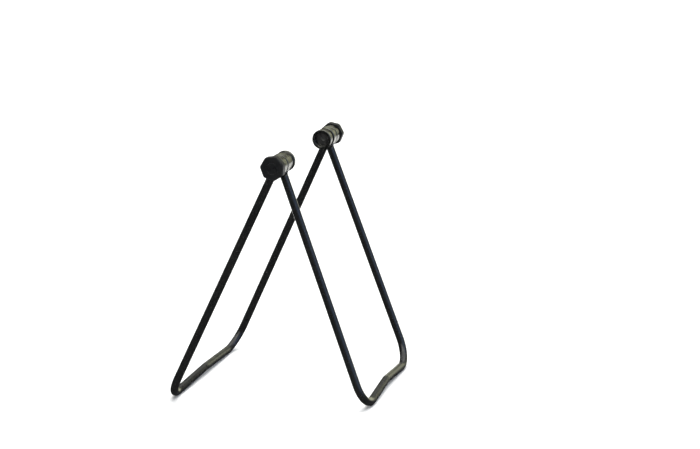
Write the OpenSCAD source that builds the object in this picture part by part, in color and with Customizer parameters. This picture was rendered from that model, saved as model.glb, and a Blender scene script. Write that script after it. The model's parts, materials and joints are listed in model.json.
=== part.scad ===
// Folding hub stand for a bicycle's rear wheel.
// Two bent tube frames cross at the wheel axle and fold flat about it. On each side a spindle joins
// them: its inner end carries a cup that holds the axle nut, and a knob on its outer end clamps the eyes.
// X points to the front of the bicycle, Y to its left and Z up. The origin is on the floor, midway
// between the two feet.

/* [Stand] */
// Height of the axle line above the floor
axle_height = 363; // [340:1:380]
// How far the rear foot stands behind the axle line
rear_reach = 178; // [160:0.5:200]
// How far the front foot stands ahead of the axle line
front_reach = 121.5; // [100:0.5:140]

/* [Frame tubes] */
// Outside diameter of both tubes
tube_d = 12; // [10:0.5:12.5]
// Wall thickness of both tubes
tube_wall = 1.5; // [1:0.1:2]
// Radius of the corner bends, on the centre line
corner_bend = 36; // [30:1:50]
// Radius of the shallow bend in the middle of each foot, on the centre line
middle_bend = 24; // [16:1:60]
// Half width of the outer frame where leg and foot lines meet
outer_half_width = 142; // [136:1:150]
// Half width of the inner frame where leg and foot lines meet
inner_half_width = 120.5; // [114:0.5:122]
// How far the middle of the outer foot rises above its corners
outer_rise = 6.5; // [4:0.5:12]
// How far the middle of the inner foot rises above its corners
inner_rise = 8; // [4:0.5:12]

/* [Axle cups] */
// Distance from the stand's middle plane to the mouth of each cup
cup_mouth = 84; // [80:0.5:88]
// Length of a cup
cup_length = 16.5; // [16:0.5:18]
// Outside diameter of a cup's rim
cup_rim_d = 30.6; // [29:0.2:32]
// Outside diameter of a cup's body
cup_body_d = 27; // [26:0.5:28]
// Diameter of the bore that takes the axle nut
cup_bore_d = 22; // [20:0.5:23]
// Depth of that bore down to its cushion
cup_bore_depth = 8; // [7.5:0.1:8.2]
// Thickness of the cushion, which sits in a seat of its own below the bore
pad_thickness = 1.5; // [1:0.1:2]

/* [Pivots] */
// Diameter of the spindles
spindle_d = 8; // [7:0.5:8]
// Radial running clearance around the spindles
running_clearance = 0.05; // [0.02:0.01:0.1]
// Outside diameter of the eyes at the tops of the legs
eye_d = 30; // [29:0.5:31]
// Width of each eye along the axle line
eye_width = 13; // [12.8:0.1:14]
// Diameter of the bore that holds a bush
eye_bore_d = 14; // [13:0.5:14.5]
// Diameter of the stop pins
stop_pin_d = 3; // [2.5:0.1:3]
// Distance from the axle line to a stop pin
stop_pin_offset = 11; // [11:0.1:11.3]

/* [Knobs] */
// Number of flats around a knob
knob_flats = 7; // [5:1:8]
// Diameter across a knob's rounded corners
knob_d = 36.2; // [34:0.2:40]
// Thickness of a knob
knob_width = 10.8; // [10.5:0.1:12]
// Angle at which the right knob stands when it is tight
right_knob_angle = 19; // [0:1:72]
// Angle at which the left knob stands when it is tight
left_knob_angle = 1; // [0:1:72]

/* [Hidden] */

$fn = 96;
slack = 0.2;            // axial gap between pieces that turn against each other
snug = 0.02;            // radial gap between pieces that are fixed in each other
bend_step = 0.02;       // how much fuller a bend is than the bars that enter it
bend_lap = 0.6;         // how far a bar enters a bend
tube_r = tube_d / 2;
eye_r = eye_d / 2;
spindle_r = spindle_d / 2;
running_r = spindle_r + running_clearance;
axle_x = (rear_reach - front_reach) / 2;

// Lean of each frame, from the height of its tube's lowest centre line
drop = axle_height - tube_r;
outer_lean = atan(rear_reach / drop);
inner_lean = atan(front_reach / drop);
fold_angle = outer_lean + inner_lean;

// Stack along the axle line, as distances from the middle plane
flange_width = 1;
flange_r = 9;
cup_end = cup_mouth + cup_length;
cup_washer_width = 1;
inner_flange_at = cup_end + cup_washer_width + slack;
inner_eye_at = inner_flange_at + flange_width;
inner_eye_end = inner_eye_at + eye_width;
friction_washer_at = inner_eye_end + slack;
friction_washer_width = 1.5;
outer_flange_at = friction_washer_at + friction_washer_width;
outer_eye_at = outer_flange_at + flange_width;
outer_eye_end = outer_eye_at + eye_width;
thrust_washer_at = outer_eye_end + slack;
thrust_washer_width = 1.5;
spring_washer_at = thrust_washer_at + thrust_washer_width;
spring_washer_width = 1;
knob_at = spring_washer_at + spring_washer_width + slack;
knob_end = knob_at + knob_width;

// Cup details
cup_rim_width = 4.5;
head_r = 6.5;
head_height = 3.7;
head_seat_depth = 4;
head_seat_r = 7;
pad_seat_r = cup_bore_d / 2 - 0.5;
head_seat_at = cup_bore_depth + pad_thickness;
head_at = cup_mouth + head_seat_at + head_seat_depth - head_height;

// Stop pins and the slots that they run in
stop_angle = 60;
stop_hole_depth = 4;
stop_slot_depth = 3.6;
stop_play = 0.15;
stop_half_slot = stop_pin_d / 2 + stop_play;
stop_end_angle = asin(stop_half_slot / stop_pin_offset);

// Knob details
nut_flats = 13;
nut_width = 6.5;
nut_r = nut_flats / 2 / cos(30);
nut_at = knob_at + 2;
cap_r = 8.2;
cap_width = knob_end - nut_at - nut_width;
spindle_end = nut_at + nut_width - 0.5;

// ---------------------------------------------------------------- helpers

// Puts a piece drawn along +Z, from the middle plane outwards, on the right side of the stand
module on_right() {
    translate([axle_x, 0, axle_height]) rotate([90, 0, 0]) children();
}

module on_left() {
    mirror([0, 1, 0]) on_right() children();
}

// Ring from z = at, with equal chamfers on its outer edges
module ring(outer_r, inner_r, at, width, chamfer = 0) {
    translate([0, 0, at])
        rotate_extrude()
            polygon(chamfer > 0
                ? [[inner_r, 0], [outer_r - chamfer, 0], [outer_r, chamfer],
                   [outer_r, width - chamfer], [outer_r - chamfer, width], [inner_r, width]]
                : [[inner_r, 0], [outer_r, 0], [outer_r, width], [inner_r, width]]);
}

function unit(v) = v / norm(v);
function bearing(v) = atan2(v[1], v[0]);

// Straight round bar between two points of the XY plane, a little longer at the ends that enter a bend
module bar(from, to, r, laps = [true, true]) {
    before = laps[0] ? bend_lap : 0;
    after = laps[1] ? bend_lap : 0;
    translate([from[0], from[1], 0])
        rotate([0, 0, bearing(to - from)])
            rotate([0, 90, 0])
                translate([0, 0, -before])
                    cylinder(r = r, h = norm(to - from) + before + after);
}

// Round bend in the XY plane, from one bearing over a sweep; it is a hair fuller than the bars
module bend(centre, bend_r, from_angle, sweep, r) {
    translate([centre[0], centre[1], 0])
        rotate([0, 0, from_angle])
            rotate_extrude(angle = sweep)
                translate([bend_r, 0]) circle(r = r + bend_step);
}

// U-shaped bar in the XY plane, hanging from the axle line at the origin. The corner is where the
// lines of leg and foot would meet; the corner bend's lowest point comes out at y = -depth.
module u_bar(top_half_width, half_width, depth, rise, r) {
    foot_slope = atan(rise / half_width);
    // a bend cuts its corner short, and a rising foot lifts the bend a little more
    corner_y = -depth - corner_drop(half_width - top_half_width, depth, foot_slope);
    corner = [half_width, corner_y];
    middle = [0, corner_y + rise];
    top = [top_half_width, 0];
    to_leg = unit(top - corner);
    to_foot = unit(middle - corner);
    half_angle = acos(to_leg * to_foot) / 2;
    leg_end = corner + to_leg * corner_bend / tan(half_angle);
    foot_end = corner + to_foot * corner_bend / tan(half_angle);
    centre = corner + unit(to_leg + to_foot) * corner_bend / sin(half_angle);
    middle_end = [middle_bend * sin(foot_slope), middle[1] - middle_bend * sin(foot_slope) * tan(foot_slope)];
    middle_centre = [0, middle[1] - middle_bend / cos(foot_slope)];
    for (side = [0, 1]) mirror([side, 0, 0]) {
        bar(leg_end, top, r, [true, false]);
        bend(centre, corner_bend, bearing(foot_end - centre), 180 - 2 * half_angle, r);
        bar(middle_end, foot_end, r);
    }
    bend(middle_centre, middle_bend, 90 - foot_slope, 2 * foot_slope, r);
}

// How far the corner point lies below the bend's lowest point
function corner_drop(splay, depth, foot_slope) =
    let (leg_angle = 90 - atan(splay / depth) - foot_slope,
         diagonal = corner_bend / sin(leg_angle / 2),
         diagonal_bearing = 180 - foot_slope - leg_angle / 2)
    diagonal * sin(diagonal_bearing) - corner_bend;

// One frame's tube, coped at the tops of its legs to fit against the eyes
module frame_tube(top_half_width, half_width, lean, rise) {
    depth = drop / cos(lean);
    difference() {
        u_bar(top_half_width, half_width, depth, rise, tube_r);
        u_bar(top_half_width, half_width, depth, rise, tube_r - tube_wall);
        translate([-half_width, 0, 0]) rotate([0, 90, 0]) cylinder(r = eye_r + snug, h = 2 * half_width);
    }
}

// Stands a frame drawn in the XY plane on the floor, leaning about the axle line
module standing(lean) {
    translate([axle_x, 0, axle_height]) rotate([0, lean, 0]) rotate([90, 0, 90]) children();
}

// ---------------------------------------------------------------- frames

module outer_frame() {
    color("#17181a")
        standing(outer_lean)
            frame_tube(outer_eye_at + eye_width / 2, outer_half_width, outer_lean, outer_rise);
}

module inner_frame() {
    color("#17181a")
        standing(-inner_lean)
            frame_tube(inner_eye_at + eye_width / 2, inner_half_width, inner_lean, inner_rise);
}

// Ring at the top of an outer leg, with the hole for its stop pin
module outer_eye() {
    color("#b9bcbe")
        difference() {
            ring(eye_r, eye_bore_d / 2 + snug, outer_eye_at, eye_width, 0.8);
            rotate([0, 0, stop_angle])
                translate([stop_pin_offset, 0, outer_eye_at - 1])
                    cylinder(r = stop_pin_d / 2 + snug, h = stop_hole_depth + 1);
        }
}

// Ring at the top of an inner leg, with the arc slot that lets it swing by the fold angle
module inner_eye() {
    color("#b9bcbe")
        difference() {
            ring(eye_r, eye_bore_d / 2 + snug, inner_eye_at, eye_width, 0.8);
            translate([0, 0, inner_eye_end - stop_slot_depth])
                rotate([0, 0, stop_angle - stop_end_angle])
                    rotate_extrude(angle = fold_angle + 2 * stop_end_angle)
                        translate([stop_pin_offset - stop_half_slot, 0])
                            square([2 * stop_half_slot, stop_slot_depth + 1]);
        }
}

// Flanged plastic bush in an eye; the spindle runs in it
module bush(flange_at) {
    color("#2c2d30")
        union() {
            ring(flange_r, running_r, flange_at, flange_width);
            ring(eye_bore_d / 2, running_r, flange_at + flange_width, eye_width);
        }
}

module friction_washer() {
    color("#3a3b3e") ring(flange_r, running_r, friction_washer_at, friction_washer_width);
}

// Dowel fixed in the outer eye, standing out into the inner eye's slot
module stop_pin() {
    stand_out = outer_eye_at - inner_eye_end + stop_slot_depth - 0.4;
    color("#8d9092")
        rotate([0, 0, stop_angle])
            translate([stop_pin_offset, 0, outer_eye_at - stand_out])
                cylinder(r = stop_pin_d / 2, h = stand_out + stop_hole_depth - snug);
}

// ---------------------------------------------------------------- cups and spindles

module axle_cup() {
    rim_r = cup_rim_d / 2;
    body_r = cup_body_d / 2;
    floor_at = head_seat_at + head_seat_depth;
    color("#c6c9ca")
        translate([0, 0, cup_mouth])
            rotate_extrude()
                polygon([
                    [cup_bore_d / 2 + 0.8, 0], [rim_r - 0.8, 0], [rim_r, 0.8],
                    [rim_r, cup_rim_width - 0.6], [rim_r - 0.6, cup_rim_width],
                    [body_r, cup_rim_width], [body_r, cup_length - 0.6], [body_r - 0.6, cup_length],
                    [spindle_r + snug, cup_length], [spindle_r + snug, floor_at],
                    [head_seat_r, floor_at], [head_seat_r, head_seat_at],
                    [pad_seat_r, head_seat_at], [pad_seat_r, cup_bore_depth],
                    [cup_bore_d / 2, cup_bore_depth], [cup_bore_d / 2, 0.8]
                ]);
}

// Rubber cushion at the bottom of the bore, with a hole over the spindle's socket
module cup_pad() {
    color("#202123")
        ring(pad_seat_r - snug, 3.5, cup_mouth + cup_bore_depth + 0.05, pad_thickness - 0.05);
}

// Screw whose low head sits in the cup and whose thread takes the knob's nut
module spindle() {
    socket_flats = 5;
    socket_depth = 2.2;
    color("#a9acae")
        difference() {
            union() {
                ring(head_r, 0, head_at, head_height, 0.6);
                translate([0, 0, head_at + 1]) cylinder(r = spindle_r, h = spindle_end - head_at - 1);
            }
            translate([0, 0, head_at - 1])
                cylinder(r = socket_flats / 2 / cos(30), h = socket_depth + 1, $fn = 6);
        }
}

module cup_washer() {
    color("#a9acae") ring(flange_r, spindle_r + snug, cup_end, cup_washer_width);
}

// ---------------------------------------------------------------- knobs

module thrust_washer() {
    color("#a9acae") ring(11, running_r, thrust_washer_at, thrust_washer_width, 0.3);
}

// Split lock washer
module spring_washer() {
    color("#85888a")
        difference() {
            ring(7, running_r + 0.1, spring_washer_at, spring_washer_width);
            translate([0, -0.6, spring_washer_at - 1]) cube([10, 1.2, spring_washer_width + 2]);
        }
}

// Plastic knob with flats all round and a pocket for its nut and cap
module knob(angle) {
    corner_r = knob_d / 2;
    sharp_r = corner_r + 0.5;
    edge = 1.4;
    color("#1d1e20")
        translate([0, 0, knob_at])
            difference() {
                intersection() {
                    rotate([0, 0, angle]) cylinder(r = sharp_r, h = knob_width, $fn = knob_flats);
                    ring(corner_r, 0, 0, knob_width, edge);
                }
                translate([0, 0, -1]) cylinder(r = spindle_r + 0.5, h = knob_width + 2);
                translate([0, 0, nut_at - knob_at]) cylinder(r = nut_r + snug, h = nut_width, $fn = 6);
                translate([0, 0, nut_at - knob_at + nut_width]) cylinder(r = cap_r + snug, h = knob_width);
            }
}

module knob_nut() {
    color("#a9acae")
        translate([0, 0, nut_at])
            difference() {
                cylinder(r = nut_r, h = nut_width - snug, $fn = 6);
                translate([0, 0, -1]) cylinder(r = running_r, h = nut_width + 2);
            }
}

module knob_cap() {
    color("#232427") ring(cap_r, 0, knob_end - cap_width, cap_width, 0.3);
}

// ---------------------------------------------------------------- assembly

outer_frame();
inner_frame();
on_right() outer_eye();  // right_outer_eye
on_left() outer_eye();  // left_outer_eye
on_right() inner_eye();  // right_inner_eye
on_left() inner_eye();  // left_inner_eye
on_right() bush(outer_flange_at);  // right_outer_bush
on_left() bush(outer_flange_at);  // left_outer_bush
on_right() bush(inner_flange_at);  // right_inner_bush
on_left() bush(inner_flange_at);  // left_inner_bush
on_right() friction_washer();  // right_friction_washer
on_left() friction_washer();  // left_friction_washer
on_right() stop_pin();  // right_stop_pin
on_left() stop_pin();  // left_stop_pin
on_right() axle_cup();  // right_axle_cup
on_left() axle_cup();  // left_axle_cup
on_right() cup_pad();  // right_cup_pad
on_left() cup_pad();  // left_cup_pad
on_right() spindle();  // right_spindle
on_left() spindle();  // left_spindle
on_right() cup_washer();  // right_cup_washer
on_left() cup_washer();  // left_cup_washer
on_right() thrust_washer();  // right_thrust_washer
on_left() thrust_washer();  // left_thrust_washer
on_right() spring_washer();  // right_spring_washer
on_left() spring_washer();  // left_spring_washer
on_right() knob(right_knob_angle);  // right_knob
on_left() knob(left_knob_angle);  // left_knob
on_right() knob_nut();  // right_knob_nut
on_left() knob_nut();  // left_knob_nut
on_right() knob_cap();  // right_knob_cap
on_left() knob_cap();  // left_knob_cap
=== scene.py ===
"""Looks of a folding hub stand for a bicycle's rear wheel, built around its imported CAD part.

Metres, in the part's own frame: X to the front of the bicycle, Y to its left, Z up. Lengths below are
written in millimetres and multiplied by MM where they become geometry. Nearly every CAD node is replaced by
a finer mesh that rides on the same body and keeps the node's place, which is read from the frame.
"""

import json
import math

import bmesh
import bpy
import numpy as np
from mathutils import Matrix, Vector

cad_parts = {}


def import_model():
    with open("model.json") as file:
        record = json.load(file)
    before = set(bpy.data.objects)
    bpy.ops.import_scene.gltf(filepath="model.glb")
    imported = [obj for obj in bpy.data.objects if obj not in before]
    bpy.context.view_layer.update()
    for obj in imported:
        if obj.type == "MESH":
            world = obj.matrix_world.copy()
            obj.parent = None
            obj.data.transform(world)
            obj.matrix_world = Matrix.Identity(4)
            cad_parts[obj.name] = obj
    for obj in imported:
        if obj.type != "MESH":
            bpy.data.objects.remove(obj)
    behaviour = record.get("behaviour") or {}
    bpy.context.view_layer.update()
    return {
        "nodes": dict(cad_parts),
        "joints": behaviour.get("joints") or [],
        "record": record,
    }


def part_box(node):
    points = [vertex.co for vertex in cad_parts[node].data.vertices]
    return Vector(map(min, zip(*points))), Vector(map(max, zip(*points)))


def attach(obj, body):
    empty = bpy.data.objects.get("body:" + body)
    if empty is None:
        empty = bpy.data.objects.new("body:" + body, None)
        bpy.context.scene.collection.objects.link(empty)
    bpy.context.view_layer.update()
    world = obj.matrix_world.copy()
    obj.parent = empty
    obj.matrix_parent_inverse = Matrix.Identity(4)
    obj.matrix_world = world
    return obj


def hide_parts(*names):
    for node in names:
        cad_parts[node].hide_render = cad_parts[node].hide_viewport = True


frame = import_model()

MM = 0.001
SIDES = {"right": -1, "left": 1}
FOLD = next(j for j in frame["joints"] if j["name"] == "fold")
AXLE = Vector(FOLD["pos_m"])

# Driving dimensions, in millimetres, as in the CAD part
TUBE_R = 6.0
CORNER_BEND = 36.0
MIDDLE_BEND = 24.0
OUTER_HALF_WIDTH, OUTER_RISE = 142.0, 6.5
INNER_HALF_WIDTH, INNER_RISE = 120.5, 8.0
SHANK_R = 4.0
SLEEVE_R = 7.0
# Radial gaps between pieces fixed in each other, and between a shank and what it turns in
SNUG, RUNNING = 0.02, 0.05


# ---------------------------------------------------------------- places read from the frame

def span(node):
    """Where a round node lies along the axle line and how big it is: (near, far, radius) in millimetres, near
    and far being distances from the stand's middle plane."""
    lo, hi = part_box(node)
    near, far = sorted((abs(lo.y), abs(hi.y)))
    return near / MM, far / MM, (hi.z - lo.z) / 2 / MM


def node_points(node):
    """A node's vertices as (across X, up Z) from the axle line, in millimetres."""
    mesh = frame["nodes"][node].data
    co = np.zeros(len(mesh.vertices) * 3)
    mesh.vertices.foreach_get("co", co)
    co = co.reshape(-1, 3)
    return np.c_[co[:, 0] - AXLE.x, co[:, 2] - AXLE.z] / MM


# ---------------------------------------------------------------- mesh helpers

def piece(name, vertices, faces, body, node, material, attributes):
    """A finished mesh piece, its vertices in metres in the row frame. attributes maps a name to one float, or
    to one vector, for each vertex. A piece that takes a CAD node's place names that node."""
    mesh = bpy.data.meshes.new(name)
    mesh.from_pydata([tuple(v) for v in vertices], [], faces)
    for key, values in attributes.items():
        values = np.asarray(values, np.float32)
        kind, field = ("FLOAT", "value") if values.ndim == 1 else ("FLOAT_VECTOR", "vector")
        mesh.attributes.new(key, kind, "POINT").data.foreach_set(field, values.ravel())
    bm = bmesh.new()
    bm.from_mesh(mesh)
    bmesh.ops.remove_doubles(bm, verts=bm.verts, dist=1e-7)
    bmesh.ops.recalc_face_normals(bm, faces=bm.faces)
    bm.to_mesh(mesh)
    bm.free()
    mesh.polygons.foreach_set("use_smooth", [True] * len(mesh.polygons))
    mesh.materials.append(material)
    obj = bpy.data.objects.new(name, mesh)
    bpy.context.scene.collection.objects.link(obj)
    modifier = obj.modifiers.new("even_shading", "WEIGHTED_NORMAL")
    modifier.mode = "FACE_AREA"
    modifier.weight = 50
    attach(obj, body)
    if node:
        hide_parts(node)
    return obj


def rounded(outline, steps=5):
    """Rounds the corners of an outline of (r, z, fillet) points. Gives (r, z, edge), edge being 1 on a
    fillet."""
    made = []
    for i, (r, z, fillet) in enumerate(outline):
        here = np.array((r, z), float)
        before = np.array(outline[i - 1][:2], float) - here
        after = np.array(outline[(i + 1) % len(outline)][:2], float) - here
        if fillet <= 0:
            made.append((r, z, 0.0))
            continue
        a, b = np.linalg.norm(before), np.linalg.norm(after)
        before, after = before / a, after / b
        half = math.acos(max(-1.0, min(1.0, float(before @ after)))) / 2
        reach = min(fillet / math.tan(half), 0.49 * a, 0.49 * b)
        radius = reach * math.tan(half)
        middle = (before + after) / np.linalg.norm(before + after)
        centre = here + middle * radius / math.sin(half)
        start, end = here + before * reach - centre, here + after * reach - centre
        turn = math.pi - 2 * half
        side = 1 if start[0] * end[1] - start[1] * end[0] > 0 else -1
        for k in range(steps + 1):
            t = side * turn * k / steps
            c, s = math.cos(t), math.sin(t)
            p = centre + np.array((start[0] * c - start[1] * s, start[0] * s + start[1] * c))
            made.append((p[0], p[1], 1.0 if 0 < k < steps else 0.35))
    return made


def place(across, up, out, side):
    """A point drawn around the axle line, in the row frame. out is its distance from the middle plane."""
    return Vector((AXLE.x + across * MM, SIDES[side] * out * MM, AXLE.z + up * MM))


def lathe(name, node, outline, side, body, material, segments=112, steps=5):
    """Turned piece around the axle line from an outline of (r, z, fillet) points. The outline is a closed
    loop, or runs from axis to axis if it starts and ends at r = 0."""
    ring = rounded(outline, steps)
    closed = outline[0][0] > 0 or outline[-1][0] > 0
    vertices, edge, turned = [], [], []
    for k in range(segments):
        a = 2 * math.pi * k / segments
        for r, z, mark in ring:
            vertices.append(place(r * math.cos(a), r * math.sin(a), z, side))
            edge.append(mark)
            turned.append((r * MM, z * MM, a))
    n = len(ring)
    faces = []
    for k in range(segments):
        for i in range(n if closed else n - 1):
            a, b = k * n + i, k * n + (i + 1) % n
            c, d = (k + 1) % segments * n + (i + 1) % n, (k + 1) % segments * n + i
            if ring[i][0] < 1e-6:
                faces.append((a, b, c))
            elif ring[(i + 1) % n][0] < 1e-6:
                faces.append((a, b, d))
            else:
                faces.append((a, b, c, d))
    return piece(name, vertices, faces, body, node, material, {"edge": edge, "turned": turned})


def loft(loops, closed_start, closed_end):
    """Faces of a stack of loops that have the same number of points."""
    n = len(loops[0])
    faces = [(i * n + k, i * n + (k + 1) % n, (i + 1) * n + (k + 1) % n, (i + 1) * n + k)
             for i in range(len(loops) - 1) for k in range(n)]
    if closed_start:
        faces.append(tuple(range(n)))
    if closed_end:
        faces.append(tuple((len(loops) - 1) * n + k for k in range(n)))
    return faces


def washer(kind, side, body, material, clearance, fillet=0.25):
    """Flat washer on the spindle's shank."""
    node = f"{side}_{kind}"
    near, far, r = span(node)
    inner_r = SHANK_R + clearance
    outline = [(inner_r, near, 0.1), (r, near, fillet), (r, far, fillet), (inner_r, far, 0.1)]
    lathe(node + "_disc", node, outline, side, body, material, segments=72, steps=3)


# ---------------------------------------------------------------- node helpers for materials

class Material:
    """Builds one procedural material around a Principled shader."""

    def __init__(self, name, **fixed):
        self.made = bpy.data.materials.new(name)
        self.made.use_nodes = True
        self.tree = self.made.node_tree
        self.shader = self.tree.nodes["Principled BSDF"]
        for key, value in fixed.items():
            self.shader.inputs[key.replace("_", " ")].default_value = value
        self.object = self.add("ShaderNodeTexCoord").outputs["Object"]

    def add(self, kind, settings=None, **inputs):
        """A node. inputs are socket names with _ for a space, or inN for socket number N."""
        node = self.tree.nodes.new(kind)
        for key, value in (settings or {}).items():
            setattr(node, key, value)
        for key, value in inputs.items():
            socket = node.inputs[int(key[2:])] if key[:2] == "in" and key[2:].isdigit() \
                else node.inputs[key.replace("_", " ")]
            if isinstance(value, bpy.types.NodeSocket):
                self.tree.links.new(value, socket)
            else:
                socket.default_value = value
        return node

    def attribute(self, name, vector=False):
        node = self.add("ShaderNodeAttribute", {"attribute_name": name})
        return node.outputs["Vector" if vector else "Fac"]

    def stretched(self, vector, scale):
        return self.add("ShaderNodeMapping", in0=vector, in3=scale).outputs[0]

    def noise(self, scale, detail=4.0, roughness=0.55, vector=None, distortion=0.0):
        return self.add("ShaderNodeTexNoise", Vector=vector or self.object, Scale=scale, Detail=detail,
                        Roughness=roughness, Distortion=distortion).outputs[0]

    def cells(self, scale):
        return self.add("ShaderNodeTexVoronoi", Vector=self.object, Scale=scale).outputs["Distance"]

    def range(self, value, low, high, to_low=0.0, to_high=1.0):
        return self.add("ShaderNodeMapRange", {"interpolation_type": "SMOOTHSTEP"}, Value=value, in1=low,
                        in2=high, in3=to_low, in4=to_high).outputs[0]

    def math(self, operation, a, b):
        return self.add("ShaderNodeMath", {"operation": operation}, in0=a, in1=b).outputs[0]

    def mix(self, share, a, b):
        node = self.add("ShaderNodeMix", {"data_type": "RGBA"}, in0=share)
        for socket, value in ((node.inputs[6], a), (node.inputs[7], b)):
            if isinstance(value, bpy.types.NodeSocket):
                self.tree.links.new(value, socket)
            else:
                socket.default_value = (*value, 1.0)
        return node.outputs[2]

    def blend(self, share, a, b):
        return self.add("ShaderNodeMix", {"data_type": "FLOAT"}, in0=share, in2=a, in3=b).outputs[0]

    def bump(self, height, distance, strength=1.0, normal=None):
        node = self.add("ShaderNodeBump", Height=height, Distance=distance, Strength=strength)
        if normal is not None:
            self.tree.links.new(normal, node.inputs["Normal"])
        return node.outputs[0]

    def set(self, **sockets):
        for key, value in sockets.items():
            self.tree.links.new(value, self.shader.inputs[key.replace("_", " ")])
        return self.made


def up_share(m):
    """How far a surface faces up, from 0 to 1, in the piece's own frame."""
    normal = m.add("ShaderNodeTexCoord").outputs["Normal"]
    z = m.add("ShaderNodeSeparateXYZ", in0=normal).outputs[2]
    return m.range(z, 0.1, 0.95)


def enamel():
    """Black enamel on steel tube: slight orange peel, fine lengthwise scratches, chips and a worn foot."""
    m = Material("frame_enamel", IOR=1.5, Coat_Weight=0.85, Coat_Roughness=0.22)
    tube = m.attribute("tube", vector=True)
    height = m.add("ShaderNodeSeparateXYZ", in0=m.object).outputs[2]
    broad = m.noise(9, 3)
    fine = m.noise(420, 3)
    peel = m.noise(520, 2, 0.4)
    lines = m.noise(1.0, 3, 0.6, m.stretched(tube, (16, 1500, 1500)))
    scratch = m.range(lines, 0.66, 0.74)
    # paint is gone where the foot stands on the floor, with a ragged edge
    ragged = m.math("ADD", height, m.range(m.noise(330, 5), 0.3, 0.7, -0.0012, 0.0012))
    worn = m.range(ragged, 0.0014, 0.0003)
    chip_spots = m.range(m.cells(95), 0.085, 0.065)
    chip_zone = m.range(m.noise(17, 2), 0.60, 0.68)
    chips = m.math("MULTIPLY", chip_spots, chip_zone)
    bare = m.math("MAXIMUM", worn, chips)
    # lighter warm tone on up-facing surfaces: partly dust, partly a painted sheen that stands in for light
    # reflected off the tops
    dust_and_sheen = m.math("MULTIPLY", up_share(m), m.range(m.noise(70, 6, 0.7), 0.35, 0.75, 0.0, 0.5))
    paint = m.mix(m.range(broad, 0.3, 0.7), (0.0052, 0.0053, 0.0056), (0.0078, 0.0078, 0.0074))
    paint = m.mix(m.math("MULTIPLY", scratch, 0.25), paint, (0.045, 0.046, 0.045))
    # warm light colour laid on up-facing surfaces, for dust and for painted sheen
    paint = m.mix(m.math("MULTIPLY", dust_and_sheen, 0.05), paint, (0.19, 0.18, 0.15))
    steel = m.mix(m.range(fine, 0.35, 0.65), (0.16, 0.145, 0.13), (0.30, 0.29, 0.27))
    rough = m.range(m.noise(38, 4), 0.25, 0.75, 0.23, 0.32)
    rough = m.math("ADD", rough, m.math("MULTIPLY", scratch, 0.12))
    rough = m.math("ADD", rough, m.math("MULTIPLY", dust_and_sheen, 0.10))
    bump = m.bump(peel, 0.00006, 0.35)
    bump = m.bump(scratch, -0.00002, 0.4, bump)
    bump = m.bump(bare, -0.00009, 0.8, bump)
    return m.set(Base_Color=m.mix(bare, paint, steel), Roughness=m.blend(bare, rough, 0.42),
                 Metallic=m.math("MULTIPLY", bare, 0.9), Normal=bump)


def weld():
    """Weld bead under the same enamel, duller, with dust between its ripples."""
    m = Material("weld_enamel", IOR=1.5, Coat_Weight=0.6, Coat_Roughness=0.25)
    grit = m.noise(900, 4, 0.6)
    paint = m.mix(m.range(m.noise(160, 4), 0.35, 0.7), (0.007, 0.007, 0.0075), (0.016, 0.016, 0.015))
    groove = m.range(m.attribute("crown"), 0.55, 0.0, 0.0, 0.3)
    paint = m.mix(groove, paint, (0.055, 0.051, 0.045))
    return m.set(Base_Color=paint, Roughness=m.range(grit, 0.3, 0.7, 0.30, 0.46),
                 Normal=m.bump(grit, 0.00008, 0.5))


def metal(name, dark, light, rough, lathe_lines=1.0, tint=(0.34, 0.30, 0.22), tint_share=0.25):
    """Plated or plain turned steel: fine turning lines, cloudy plating, bright rubbed edges, small pits."""
    m = Material(name, Metallic=1.0)
    turned = m.attribute("turned", vector=True)
    edge = m.attribute("edge")
    lines = m.noise(1.0, 4, 0.65, m.stretched(turned, (5200, 5200, 1.3)))
    cloud = m.noise(130, 5, 0.6)
    smear = m.noise(1.0, 4, 0.6, m.stretched(turned, (180, 180, 0.9)))
    pits = m.range(m.cells(700), 0.10, 0.06)
    pit_zone = m.range(m.noise(60, 3), 0.56, 0.66)
    pits = m.math("MULTIPLY", pits, pit_zone)
    base = m.mix(m.range(cloud, 0.3, 0.72), dark, light)
    base = m.mix(m.math("MULTIPLY", m.range(smear, 0.45, 0.75), tint_share), base, tint)
    base = m.mix(m.math("MULTIPLY", edge, 0.45), base, tuple(min(1.0, c * 1.18) for c in light))
    base = m.mix(m.math("MULTIPLY", pits, 0.6), base, (0.12, 0.10, 0.08))
    roughness = m.math("ADD", m.range(cloud, 0.3, 0.72, rough[0], rough[1]),
                       m.math("MULTIPLY", m.range(lines, 0.3, 0.7), 0.05))
    bump = m.bump(lines, 0.000012 * lathe_lines, 0.6)
    bump = m.bump(pits, -0.00004, 0.5, bump)
    return m.set(Base_Color=base, Roughness=roughness, Normal=bump)


def plastic(name, dark, light, rough, grain=0.00003, worn=(0.06, 0.06, 0.062)):
    """Moulded plastic: fine grain, cloudy sheen, edges rubbed a little lighter, hairline scratches."""
    m = Material(name, IOR=1.46)
    edge = m.attribute("edge")
    sparkle = m.noise(2400, 3, 0.6)
    cloud = m.noise(75, 4)
    hair = m.noise(1.0, 2, 0.5, m.stretched(m.object, (60, 900, 2600)), 0.4)
    scratch = m.range(hair, 0.70, 0.76)
    base = m.mix(m.range(cloud, 0.3, 0.7), dark, light)
    rubbed = m.math("MULTIPLY", edge, m.range(m.noise(520, 4, 0.65), 0.40, 0.74))
    base = m.mix(m.math("MULTIPLY", rubbed, 0.36), base, worn)
    base = m.mix(m.math("MULTIPLY", scratch, 0.3), base, worn)
    roughness = m.math("ADD", m.range(cloud, 0.25, 0.75, rough[0], rough[1]),
                       m.math("MULTIPLY", rubbed, -0.08))
    bump = m.bump(sparkle, grain, 0.7)
    bump = m.bump(scratch, -0.00002, 0.4, bump)
    return m.set(Base_Color=base, Roughness=roughness, Normal=bump)


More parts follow.
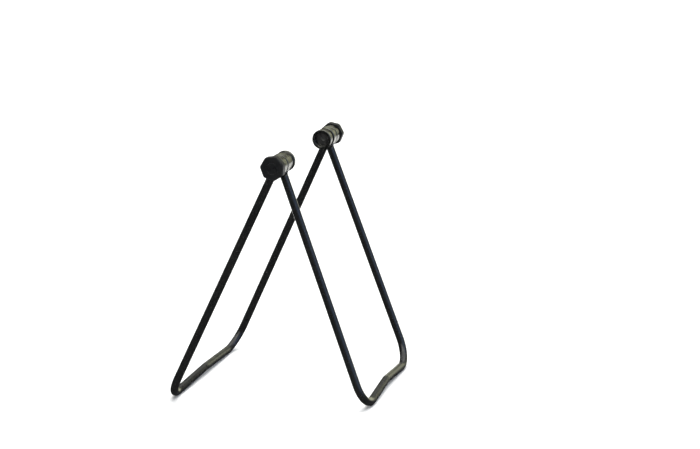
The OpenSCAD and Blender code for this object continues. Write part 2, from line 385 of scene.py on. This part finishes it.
def rubber():
    """Dull soft rubber with a little grit."""
    m = Material("pad_rubber", IOR=1.5, Sheen_Weight=0.15)
    grit = m.noise(1500, 4, 0.65)
    base = m.mix(m.range(m.noise(220, 5), 0.35, 0.7), (0.010, 0.010, 0.010), (0.024, 0.023, 0.022))
    return m.set(Base_Color=base, Roughness=m.range(grit, 0.3, 0.7, 0.72, 0.9),
                 Normal=m.bump(grit, 0.00006, 0.6))


ENAMEL = enamel()
WELD = weld()
PLATED = metal("plated_steel", (0.105, 0.105, 0.094), (0.27, 0.27, 0.25), (0.17, 0.31),
               tint=(0.18, 0.155, 0.11), tint_share=0.45)
STEEL = metal("plain_steel", (0.38, 0.38, 0.37), (0.56, 0.56, 0.54), (0.24, 0.38), 1.6)
SPRING = metal("spring_steel", (0.16, 0.16, 0.165), (0.28, 0.28, 0.275), (0.32, 0.45), 1.6)
KNOB = plastic("knob_plastic", (0.0042, 0.0046, 0.0056), (0.0072, 0.0076, 0.0086), (0.40, 0.52))
CAP = plastic("cap_plastic", (0.0042, 0.0045, 0.0052), (0.0068, 0.0070, 0.0078), (0.26, 0.36), 0.00001)
NYLON = plastic("bush_plastic", (0.014, 0.014, 0.015), (0.024, 0.024, 0.025), (0.36, 0.48))
FIBRE = plastic("washer_fibre", (0.022, 0.021, 0.020), (0.040, 0.038, 0.035), (0.55, 0.7), 0.00006)
RUBBER = rubber()


# ---------------------------------------------------------------- frame tubes

def u_path(top, half_width, depth, rise):
    """Centre line of a U-shaped tube in its own plane, from the top of one leg round to the other. Gives its
    points (across, up) from the middle of the axle line, in millimetres, and their directions."""
    slope = math.atan(rise / half_width)
    leg_angle = math.pi / 2 - math.atan((half_width - top) / depth) - slope
    diagonal_bearing = math.pi - slope - leg_angle / 2
    corner_drop = CORNER_BEND / math.sin(leg_angle / 2) * math.sin(diagonal_bearing) - CORNER_BEND
    corner = np.array((half_width, -depth - corner_drop))
    middle = np.array((0.0, corner[1] + rise))
    leg_top = np.array((top, 0.0))
    to_leg = (leg_top - corner) / np.linalg.norm(leg_top - corner)
    to_foot = (middle - corner) / np.linalg.norm(middle - corner)
    half = math.acos(float(to_leg @ to_foot)) / 2
    reach = CORNER_BEND / math.tan(half)
    leg_end, foot_end = corner + to_leg * reach, corner + to_foot * reach
    bisector = (to_leg + to_foot) / np.linalg.norm(to_leg + to_foot)
    centre = corner + bisector * CORNER_BEND / math.sin(half)
    middle_reach = MIDDLE_BEND * math.sin(slope)
    middle_end = np.array((middle_reach, middle[1] - middle_reach * math.tan(slope)))
    middle_centre = np.array((0.0, middle[1] - MIDDLE_BEND / math.cos(slope)))
    crest = middle_centre + (0.0, MIDDLE_BEND)

    def straight(a, b, step):
        n = max(2, round(float(np.linalg.norm(b - a)) / step))
        return [a + (b - a) * k / n for k in range(n)]

    def arc(middle_point, a, b, step):
        start, end = (math.atan2(*(p - middle_point)[::-1]) for p in (a, b))
        turn = (end - start + math.pi) % (2 * math.pi) - math.pi
        r = float(np.linalg.norm(a - middle_point))
        n = max(3, round(abs(turn) * r / step))
        bearings = [start + turn * k / n for k in range(n)]
        return [middle_point + r * np.array((math.cos(t), math.sin(t))) for t in bearings]

    half_path = straight(leg_top, leg_end, step=4.0) + arc(centre, leg_end, foot_end, step=1.6) \
        + straight(foot_end, middle_end, step=3.0) + arc(middle_centre, middle_end, crest, step=0.8)
    points = np.array(half_path + [crest] + [p * (-1, 1) for p in reversed(half_path)])
    directions = np.gradient(points, axis=0)
    return points, directions / np.linalg.norm(directions, axis=1)[:, None]


class Tube:
    """One bent frame tube, leaning in its own plane about the axle line."""

    def __init__(self, name, half_width, rise):
        self.name = name
        lo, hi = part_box(name)
        foot_x = (hi.x - TUBE_R * MM) if abs(hi.x - AXLE.x) > abs(lo.x - AXLE.x) else (lo.x + TUBE_R * MM)
        drop = AXLE.z - TUBE_R * MM
        self.lean = math.atan2(AXLE.x - foot_x, drop)
        self.depth = drop / math.cos(self.lean) / MM
        near, far, self.eye_r = span("right_" + name.replace("frame", "eye"))
        self.eye = (near, far)
        self.top = (near + far) / 2
        self.points, self.directions = u_path(self.top, half_width, self.depth, rise)
        self.normal = Vector((math.cos(self.lean), 0, -math.sin(self.lean)))

    def at(self, across, up, out):
        """A point of the frame's plane, out being its distance in front of that plane, in the row frame."""
        x, z = up * MM * math.sin(self.lean), up * MM * math.cos(self.lean)
        return Vector((AXLE.x + x, across * MM, AXLE.z + z)) + self.normal * (out * MM)

    def cope(self, a, r, sink):
        """Where the left leg's line at angle a round a tube of radius r meets the eye, its rim shrunk by
        sink, as (across, up, out)."""
        t = self.directions[0]
        side = np.array((-t[1], t[0]))
        out = r * math.sin(a)
        up = -math.sqrt((self.eye_r - sink) ** 2 - out * out)
        offset = r * math.cos(a) * side
        s = (up - offset[1]) / t[1]
        return self.points[0][0] + offset[0] + s * t[0], up, out

    def build(self, body):
        """The tube itself, its ends sunk into the eyes' rims, and the weld beads round both ends."""
        ring_n, sink, clear_of_eye = 44, 0.3, 5
        keep = [i for i, p in enumerate(self.points) if p[1] < -(self.eye_r + clear_of_eye)]
        along = np.r_[0, np.cumsum(np.linalg.norm(np.diff(self.points, axis=0), axis=1))]
        vertices, tube = [], []

        def ring(row_at, length):
            for k in range(ring_n):
                a = 2 * math.pi * k / ring_n
                vertices.append(self.at(*row_at(a)))
                tube.append((length, TUBE_R * MM * math.cos(a), TUBE_R * MM * math.sin(a)))

        def right_end(a):
            across, up, out = self.cope(a, TUBE_R, sink)
            return -across, up, out

        ring(lambda a: self.cope(a, TUBE_R, sink), along[0] * MM)
        for i in keep:
            p, t = self.points[i], self.directions[i]
            side = np.array((-t[1], t[0]))
            ring(lambda a: (*(p + TUBE_R * math.cos(a) * side), TUBE_R * math.sin(a)), along[i] * MM)
        ring(right_end, along[-1] * MM)
        rings = len(keep) + 2
        faces = [(r * ring_n + k, r * ring_n + (k + 1) % ring_n,
                  (r + 1) * ring_n + (k + 1) % ring_n, (r + 1) * ring_n + k)
                 for r in range(rings - 1) for k in range(ring_n)]
        # close both ends, inside the eyes
        faces.append(tuple(range(ring_n)))
        faces.append(tuple((rings - 1) * ring_n + k for k in range(ring_n)))
        name = self.name + "_tube"
        piece(name, vertices, faces, body, self.name, ENAMEL, {"tube": tube})
        for side, sign in SIDES.items():
            self.weld_bead(side, sign, body)

    def weld_bead(self, side, sign, body):
        """Fillet weld all round the joint of tube and eye, laid in overlapping ripples and kept within the
        eye's width."""
        around, section, ripples = 238, 18, 34
        bead_r, ripple_rise, uneven, sink, eye_margin = 1.55, 0.17, 0.07, 0.1, 0.12
        seed = (17 if side == "right" else 5) + (3 if "outer" in self.name else 0)
        wander = np.random.default_rng(seed).normal(0, 1, (ripples, 2))
        near, far = self.eye
        down = self.directions[0]
        vertices, crown = [], []
        for i in range(around):
            a = 2 * math.pi * i / around
            across, up, out = self.cope(a, TUBE_R + sink, sink)
            for k in range(section):
                b = 2 * math.pi * k / section
                # each ripple swells at its front and leans back towards its toes
                phase = i * ripples / around + 0.35 * math.cos(b)
                ripple, share = int(phase) % ripples, phase % 1.0
                swell = bead_r + uneven * wander[ripple][0] + ripple_rise * math.sin(math.pi * share) ** 0.7
                away = swell * (1.0 + 0.04 * wander[ripple][1]) * math.cos(b)
                along = swell * 0.9 * math.sin(b)
                x = across + away * math.cos(a) + along * down[0]
                x = min(max(x, near + eye_margin), far - eye_margin)
                vertices.append(self.at(sign * x, up + along * down[1], out + away * math.sin(a)))
                crown.append(math.sin(math.pi * share))
        faces = [(i * section + k, i * section + (k + 1) % section,
                  (i + 1) % around * section + (k + 1) % section, (i + 1) % around * section + k)
                 for i in range(around) for k in range(section)]
        name = f"{side}_{self.name.replace('frame', 'weld')}"
        piece(name, vertices, faces, body, None, WELD, {"crown": crown})


Tube("outer_frame", OUTER_HALF_WIDTH, OUTER_RISE).build("outer_frame")
Tube("inner_frame", INNER_HALF_WIDTH, INNER_RISE).build("inner_frame")


# ---------------------------------------------------------------- pieces along the axle line

def carve(obj, side, loops):
    """Cuts a solid, a stack of loops of points around the axle line, out of a piece and keeps the cut's edges
    sharp."""
    mesh = bpy.data.meshes.new("cutter")
    vertices = [tuple(place(*point, side)) for loop in loops for point in loop]
    mesh.from_pydata(vertices, [], loft(loops, True, True))
    bm = bmesh.new()
    bm.from_mesh(mesh)
    bmesh.ops.recalc_face_normals(bm, faces=bm.faces)
    bm.to_mesh(mesh)
    bm.free()
    cutter = bpy.data.objects.new("cutter", mesh)
    bpy.context.scene.collection.objects.link(cutter)
    shading = obj.modifiers["even_shading"]
    shading.show_viewport = False
    cut = obj.modifiers.new("cut", "BOOLEAN")
    cut.operation, cut.solver, cut.object = "DIFFERENCE", "EXACT", cutter
    bpy.context.view_layer.update()
    carved = bpy.data.meshes.new_from_object(obj.evaluated_get(bpy.context.evaluated_depsgraph_get()))
    obj.modifiers.remove(cut)
    obj.data = carved
    bpy.data.objects.remove(cutter)
    carved.set_sharp_from_angle(angle=math.radians(40))
    shading.show_viewport, shading.keep_sharp = True, True


def eye(side, which):
    """Plated ring. The outer one holds a stop pin and the inner one has the slot that the pin runs in."""
    node = f"{side}_{which}_eye"
    near, far, r = span(node)
    bore_r = SLEEVE_R + SNUG
    outline = [(bore_r, near, 0.3), (r, near, 0.9), (r, far, 0.9), (bore_r, far, 0.3)]
    obj = lathe(node + "_ring", node, outline, side, f"{which}_frame", PLATED)
    lo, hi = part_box(f"{side}_stop_pin")
    across, _, up = ((lo + hi) / 2 - AXLE) / MM
    pin_r = (hi.x - lo.x) / 2 / MM
    if which == "outer":
        hole_r, hole_depth, sides = pin_r + SNUG, 4, 48
        bearings = [2 * math.pi * k / sides for k in range(sides)]
        carve(obj, side, [[(across + hole_r * math.cos(t), up + hole_r * math.sin(t), z) for t in bearings]
                          for z in (near - 1, near + hole_depth)])
        return
    offset, half_slot, slot_depth, steps = math.hypot(across, up), pin_r + 0.15, 3.6, 30
    spare = math.asin(half_slot / offset)
    start = math.atan2(up, across) - spare
    sweep = math.radians(FOLD["range_deg"][1]) + 2 * spare
    inner, outer = offset - half_slot, offset + half_slot
    section = [(inner, far - slot_depth), (outer, far - slot_depth), (outer, far + 1), (inner, far + 1)]
    bearings = [start + sweep * k / steps for k in range(steps + 1)]
    carve(obj, side, [[(q * math.cos(t), q * math.sin(t), z) for q, z in section] for t in bearings])


def bush(side, which):
    """Plastic bush with a thin flange."""
    node = f"{side}_{which}_bush"
    near, far, r = span(node)
    flange_end, bore_r = near + 1, SHANK_R + RUNNING
    outline = [(bore_r, near, 0.2), (r, near, 0.25), (r, flange_end, 0.0), (SLEEVE_R, flange_end, 0.1),
               (SLEEVE_R, far, 0.2), (bore_r, far, 0.2)]
    lathe(node + "_sleeve", node, outline, side, f"{which}_frame", NYLON, segments=72,
          steps=3)


def axle_cup(side):
    """Plated cup: a wider rim at its mouth, a bore for the axle nut, seats for cushion and spindle head."""
    node = f"{side}_axle_cup"
    near, far, rim_r = span(node)
    pad_near, pad_far, pad_r = span(f"{side}_cup_pad")
    bore = next(m for m in frame["record"]["mounts"] if m["name"] == node + "_bore")["dims"]["r_mm"]
    rim_end, body_r = near + 4.5, 13.5
    seat_r, seat_near = pad_r + SNUG, pad_near - 0.05
    head_seat_r, head_seat_end, hole_r = 7.0, pad_far + 4, SHANK_R + SNUG
    outline = [(bore, near, 0.7), (rim_r, near, 0.9), (rim_r, rim_end, 0.7), (body_r, rim_end + 0.1, 0.35),
               (body_r, far, 0.8), (hole_r, far, 0.1), (hole_r, head_seat_end, 0.1),
               (head_seat_r, head_seat_end, 0.2), (head_seat_r, pad_far, 0.2), (seat_r, pad_far, 0.1),
               (seat_r, seat_near, 0.1), (bore, seat_near, 0.15)]
    lathe(node + "_shell", node, outline, side, f"{side}_cup_set", PLATED, segments=128)


def cup_pad(side):
    """Rubber cushion with three ribs round it."""
    node = f"{side}_cup_pad"
    near, far, r = span(node)
    face, hole_r = near + 0.25, 3.5
    ribs = []
    for k in range(3):
        at = 5.2 + 1.7 * k
        ribs += [(at, face, 0.1), (at + 0.35, near, 0.1), (at + 0.9, near, 0.1), (at + 1.25, face, 0.1)]
    outline = [(hole_r, face, 0.15), *ribs, (r, face, 0.2), (r, far, 0.1), (hole_r, far, 0.1)]
    lathe(node + "_cushion", node, outline, side, f"{side}_cup_set", RUBBER, segments=72,
          steps=3)


def spindle(side):
    """Low screw head with a hex socket, and a plain shank."""
    node = f"{side}_spindle"
    near, far, head_r = span(node)
    socket, socket_end, head_end, face_r = 4.98, near + 2.2, near + 3.7, 5.6
    n = 96

    def circle(r, z):
        return [(r * math.cos(2 * math.pi * k / n), r * math.sin(2 * math.pi * k / n), z) for k in range(n)]

    def hexagon(flats, z):
        """The socket's outline, flats being its width from flat to flat."""
        loop = []
        for k in range(n):
            a = 2 * math.pi * k / n
            r = flats / 2 / math.cos((a + math.pi / 6) % (math.pi / 3) - math.pi / 6)
            loop.append((r * math.cos(a), r * math.sin(a), z))
        return loop

    loops = [hexagon(socket - 0.02, socket_end), hexagon(socket, near + 0.35), hexagon(5.5, near + 0.02),
             circle(face_r, near), circle(head_r - 0.8, near), circle(head_r - 0.25, near + 0.2),
             circle(head_r, near + 0.75), circle(head_r, head_end - 0.2),
             circle(head_r - 0.2, head_end - 0.02), circle(SHANK_R + 0.3, head_end),
             circle(SHANK_R, head_end + 0.3), circle(SHANK_R, far - 0.8), circle(SHANK_R - 0.6, far)]
    marks = [0, 0, 1, 0.4, 0, 1, 0.4, 0.3, 1, 0, 0, 0.3, 1]
    vertices = [place(x, y, z, side) for loop in loops for x, y, z in loop]
    turned = [(math.hypot(x, y) * MM, z * MM, math.atan2(y, x)) for loop in loops for x, y, z in loop]
    edge = [mark for mark, loop in zip(marks, loops) for _ in loop]
    piece(node + "_screw", vertices, loft(loops, True, True), f"{side}_cup_set", node, STEEL,
          {"edge": edge, "turned": turned})


def knob(side):
    """Seven-sided moulded knob with rounded corners and edges and a pocket for its cap."""
    node = f"{side}_knob"
    near, far, _ = span(node)
    points = node_points(node)
    radius = np.hypot(points[:, 0], points[:, 1])
    top_r = float(radius.max())
    rim = points[radius > top_r - 0.05]
    flats, corner = 7, 5.0
    phase = float(np.angle(np.exp(1j * flats * np.arctan2(rim[:, 1], rim[:, 0])).sum())) / flats
    cap_near, _, cap_r = span(f"{side}_knob_cap")
    half_arc = math.pi / flats
    sharp_r = top_r + corner * (1 / math.cos(half_arc) - 1) - 0.02
    flat_r = sharp_r * math.cos(half_arc)
    # points for each side, and how much of half a side they spend on its corner
    per_side, arc_share = 26, 0.32

    def rounded_polygon(inset, z):
        """The knob's outline, moved in by inset."""
        loop = []
        r_corner = max(corner - inset, 0.05)
        centre = (flat_r - corner) / math.cos(half_arc)
        for s in range(flats):
            base = phase + 2 * math.pi * s / flats
            for k in range(per_side):
                t = k / per_side - 0.5
                a = max(-half_arc, min(half_arc, t / arc_share * half_arc))
                x, y = centre + r_corner * math.cos(a), r_corner * math.sin(a)
                if abs(t) >= arc_share:
                    # straight flat from this corner's arc end to the middle of the side
                    share = (abs(t) - arc_share) / (0.5 - arc_share)
                    middle_x, middle_y = (flat_r - inset) * math.cos(a), (flat_r - inset) * math.sin(a)
                    x, y = x + (middle_x - x) * share, y + (middle_y - y) * share
                c, d = math.cos(base), math.sin(base)
                loop.append((x * c - y * d, x * d + y * c, z))
        return loop

    def circle(r, z):
        """Circle with its points at the same bearings as the outline's."""
        outline = rounded_polygon(0, 0)
        return [(r * x / math.hypot(x, y), r * y / math.hypot(x, y), z) for x, y, _ in outline]

    fillet, fillet_steps = 1.5, 6
    hole_r, hole_middle, boss_r, recess_r, recess_depth = 4.6, near + 1.9, 9.5, 12.8, 0.25
    middle, seam_half, seam_rise = (near + far) / 2, 0.22, 0.015
    loops, marks = [], []

    def add(loop, mark=0.0):
        loops.append(loop)
        marks.append(mark)

    def add_edge(z, inwards, order):
        """The rounded edge between a face at z and the flats."""
        for k in order:
            t = math.pi / 2 * k / fillet_steps
            inset, depth = fillet * (1 - math.sin(t)), fillet * (1 - math.cos(t))
            add(rounded_polygon(inset, z + inwards * depth), 0.35 if k in (0, fillet_steps) else 1.0)

    # hole and boss, and the shallow recess round them, on the inner face
    add(circle(hole_r, hole_middle))
    add(circle(hole_r, near + 0.3), 0.3)
    add(circle(hole_r + 0.3, near), 0.6)
    add(circle(boss_r, near))
    add(circle(boss_r + 0.5, near + recess_depth), 0.5)
    add(circle(recess_r - 0.4, near + recess_depth), 0.3)
    add(circle(recess_r, near), 0.6)
    add_edge(near, 1, range(fillet_steps + 1))
    # the mould's parting line
    add(rounded_polygon(0.0, middle - seam_half))
    add(rounded_polygon(-seam_rise, middle - 0.06), 0.6)
    add(rounded_polygon(-seam_rise, middle + 0.06), 0.6)
    add(rounded_polygon(0.0, middle + seam_half))
    add_edge(far, -1, range(fillet_steps, -1, -1))
    # lip and pocket round the cap
    add(circle(cap_r + 1.6, far))
    add(circle(cap_r + 1.2, far - 0.02), 0.3)
    add(circle(cap_r + 0.35, far - 0.12), 0.8)
    add(circle(cap_r + 0.05, far - 0.35), 0.8)
    add(circle(cap_r + 0.05, cap_near))
    add(circle(hole_r, cap_near))
    # the hole's ends join, so that the knob is one closed skin
    add(circle(hole_r, hole_middle))
    vertices = [place(x, y, z, side) for loop in loops for x, y, z in loop]
    edge = [mark for mark, loop in zip(marks, loops) for _ in loop]
    piece(node + "_grip", vertices, loft(loops, False, False), f"{side}_knob_set", node, KNOB,
          {"edge": edge})


def knob_cap(side):
    """Smooth disc, a little domed."""
    node = f"{side}_knob_cap"
    near, far, r = span(node)
    outline = [(0.0, near, 0.0), (r, near, 0.15), (r, far - 0.30, 0.45), (r - 1.2, far - 0.05, 0.3),
               (3.0, far - 0.03, 1.0), (0.0, far - 0.02, 0.0)]
    lathe(node + "_disc", node, outline, side, f"{side}_knob_set", CAP, segments=96)


def knob_nut(side):
    """Hexagon nut with rounded-off corners and a countersunk bore, hidden inside the knob."""
    node = f"{side}_knob_nut"
    near, far, _ = span(node)
    points = node_points(node)
    corner_r = float(np.hypot(points[:, 0], points[:, 1]).max())
    half_flats, chamfer, bore_r, sink_r = corner_r * math.cos(math.pi / 6), 0.7, SHANK_R + RUNNING, 4.5
    n = 72

    def hexagon(r, z):
        """The nut's outline where it lies within r, and a circle elsewhere."""
        loop = []
        for k in range(n):
            a = 2 * math.pi * k / n
            reach = min(r, half_flats / math.cos(a % (math.pi / 3) - math.pi / 6))
            loop.append((reach * math.cos(a), reach * math.sin(a), z))
        return loop

    bore = hexagon(bore_r, near + 0.4)
    loops = [bore, hexagon(sink_r, near), hexagon(corner_r - chamfer, near), hexagon(corner_r, near + 0.5),
             hexagon(corner_r, far - 0.5), hexagon(corner_r - chamfer, far), hexagon(sink_r, far),
             hexagon(bore_r, far - 0.4), bore]
    marks = [0.3, 1, 0.4, 0.6, 0.6, 0.4, 1, 0.3, 0.3]
    vertices = [place(x, y, z, side) for loop in loops for x, y, z in loop]
    turned = [(math.hypot(x, y) * MM, z * MM, math.atan2(y, x)) for loop in loops for x, y, z in loop]
    edge = [mark for mark, loop in zip(marks, loops) for _ in loop]
    piece(node + "_hex", vertices, loft(loops, False, False), f"{side}_knob_set", node, STEEL,
          {"edge": edge, "turned": turned})


for side in SIDES:
    for which in ("outer", "inner"):
        eye(side, which)
        bush(side, which)
    axle_cup(side)
    cup_pad(side)
    spindle(side)
    washer("cup_washer", side, f"{side}_cup_set", STEEL, SNUG)
    washer("friction_washer", side, "outer_frame", FIBRE, RUNNING)
    washer("thrust_washer", side, f"{side}_collar", STEEL, RUNNING, 0.35)
    knob(side)
    knob_cap(side)
    knob_nut(side)

# pieces whose CAD shape is already right
for side in SIDES:
    for name, material in (("stop_pin", STEEL), ("spring_washer", SPRING)):
        mesh = frame["nodes"][f"{side}_{name}"].data
        mesh.materials.clear()
        mesh.materials.append(material)


# ---------------------------------------------------------------- floor, light and camera

def stage_floor():
    """Pale floor, level near the stand and rising far away on every side into a plain backdrop. It is laid
    in two parts of the same paper: the part well behind the stand shows in the shiny pieces, and the rest
    isn't mirrored, as on a dark studio floor."""
    rings, spokes, flat, reach, height = 60, 96, 11.0, 20.0, 9.0
    m = Material("floor_paper", Roughness=0.9)
    m.shader.inputs["Specular IOR Level"].default_value = 0.1
    tone = m.mix(m.range(m.noise(2.2, 4), 0.3, 0.7), (0.86, 0.86, 0.86), (0.885, 0.885, 0.882))
    m.set(Base_Color=tone)

    def height_at(r):
        return 0 if r < flat else height * (1 - math.cos(math.pi / 2 * (r - flat) / (reach - flat)))

    def is_behind(ring, spoke):
        """Cells between 0.67 and 2.67 m away, within 56 degrees of straight behind."""
        return 2 <= ring < 8 and abs(360 * (spoke + 0.5) / spokes - 90) < 56

    for name, behind in (("floor_around", False), ("floor_behind", True)):
        vertices, faces = [], []
        for ring in range(rings):
            near, far = reach * ring / rings, reach * (ring + 1) / rings
            for spoke in range(spokes):
                if is_behind(ring, spoke) != behind:
                    continue
                a, b = (2 * math.pi * (spoke + k) / spokes for k in (0, 1))
                n = len(vertices)
                for r, t in ((near, a), (far, a), (far, b), (near, b)):
                    vertices.append((r * math.cos(t), r * math.sin(t), height_at(r)))
                faces.append((n, n + 1, n + 2, n + 3))
        mesh = bpy.data.meshes.new(name)
        mesh.from_pydata(vertices, [], faces)
        bm = bmesh.new()
        bm.from_mesh(mesh)
        bmesh.ops.remove_doubles(bm, verts=bm.verts, dist=1e-6)
        bm.to_mesh(mesh)
        bm.free()
        mesh.polygons.foreach_set("use_smooth", [True] * len(mesh.polygons))
        mesh.materials.append(m.made)
        floor = bpy.data.objects.new(name, mesh)
        floor.visible_glossy = behind
        bpy.context.scene.collection.objects.link(floor)


def sky_light(name, towards, strength, spread, colour):
    """Very soft light from far away: a disc of the sky that is spread degrees across."""
    data = bpy.data.lights.new(name, "SUN")
    data.energy = strength
    data.angle = math.radians(spread)
    data.color = colour
    light = bpy.data.objects.new(name, data)
    light.rotation_mode = "QUATERNION"
    light.rotation_quaternion = Vector(towards).to_track_quat("Z", "Y")
    light.visible_glossy = False
    bpy.context.scene.collection.objects.link(light)


def world():
    """Soft studio surroundings as the camera sees them: a low warm glow and a wide faint one behind the
    stand, soft lights overhead and high in front of it, a cool window at the right, a dark room all round."""
    made = bpy.data.worlds.new("studio")
    bpy.context.scene.world = made
    made.use_nodes = True
    tree = made.node_tree
    direction = tree.nodes.new("ShaderNodeTexCoord").outputs["Generated"]
    height = tree.nodes.new("ShaderNodeSeparateXYZ")
    tree.links.new(direction, height.inputs[0])

    def fade(value, full, gone):
        """1 where value has reached full, 0 where it has reached gone, and smooth between them."""
        ramp = tree.nodes.new("ShaderNodeMapRange")
        ramp.interpolation_type = "SMOOTHSTEP"
        tree.links.new(value, ramp.inputs[0])
        for socket, number in zip(ramp.inputs[1:5], (gone, full, 0.0, 1.0)):
            socket.default_value = number
        return ramp.outputs[0]

    def glow(towards, core, edge, colour, before, ceiling=None):
        """Adds a soft round light, full within core degrees of its direction and gone beyond edge degrees.
        A ceiling fades it out between two elevations."""
        dot = tree.nodes.new("ShaderNodeVectorMath")
        dot.operation = "DOT_PRODUCT"
        tree.links.new(direction, dot.inputs[0])
        dot.inputs[1].default_value = Vector(towards).normalized()
        share = fade(dot.outputs["Value"], math.cos(math.radians(core)), math.cos(math.radians(edge)))
        if ceiling:
            low, high = (math.sin(math.radians(angle)) for angle in ceiling)
            under = tree.nodes.new("ShaderNodeMath")
            under.operation = "MULTIPLY"
            tree.links.new(share, under.inputs[0])
            tree.links.new(fade(height.outputs[2], low, high), under.inputs[1])
            share = under.outputs[0]
        add = tree.nodes.new("ShaderNodeVectorMath")
        add.operation = "MULTIPLY_ADD"
        tree.links.new(share, add.inputs[0])
        add.inputs[1].default_value = colour
        if isinstance(before, bpy.types.NodeSocket):
            tree.links.new(before, add.inputs[2])
        else:
            add.inputs[2].default_value = before
        return add.outputs[0]

    light = glow((0.035, 1.0, 0.14), 9, 28, (1.04, 1.05, 0.72), (0.040, 0.042, 0.044), ceiling=(15, 21))
    light = glow((0.10, 1.0, 0.36), 20, 45, (0.045, 0.045, 0.038), light)
    light = glow((0.0, 0.10, 1.0), 30, 60, (1.05, 1.05, 1.02), light)
    light = glow((0.0, -1.0, 0.95), 16, 30, (1.30, 1.30, 1.27), light)
    light = glow((1.0, -0.20, 0.36), 16, 50, (0.28, 0.39, 0.64), light)
    tree.links.new(light, tree.nodes["Background"].inputs["Color"])


def camera():
    """Long lens from the bicycle's right and a little ahead of square, slightly above the stand."""
    azimuth, elevation, roll = math.radians(17.3), math.radians(13.29), math.radians(-1.44)
    distance, lens = 2.528, 86.76
    aim = AXLE + Vector((68.8 * MM, 0, -111.6 * MM))
    level = math.cos(elevation)
    back = Vector((math.sin(azimuth) * level, -math.cos(azimuth) * level, math.sin(elevation)))
    right = (-back).cross(Vector((0, 0, 1))).normalized()
    up = right.cross(-back)
    right, up = right * math.cos(roll) + up * math.sin(roll), up * math.cos(roll) - right * math.sin(roll)
    data = bpy.data.cameras.new("camera")
    data.lens, data.sensor_width = lens, 36
    data.clip_start, data.clip_end = 0.05, 60
    cam = bpy.data.objects.new("camera", data)
    bpy.context.scene.collection.objects.link(cam)
    turned = Matrix((right, up, back)).transposed().to_4x4()
    cam.matrix_world = Matrix.Translation(aim + back * distance) @ turned
    bpy.context.scene.camera = cam


stage_floor()
world()
sky_light("overhead", (0.05, 0.45, 1.0), 3.3, 60, (1.0, 0.995, 0.975))
camera()
bpy.context.scene.view_settings.view_transform = "Standard"
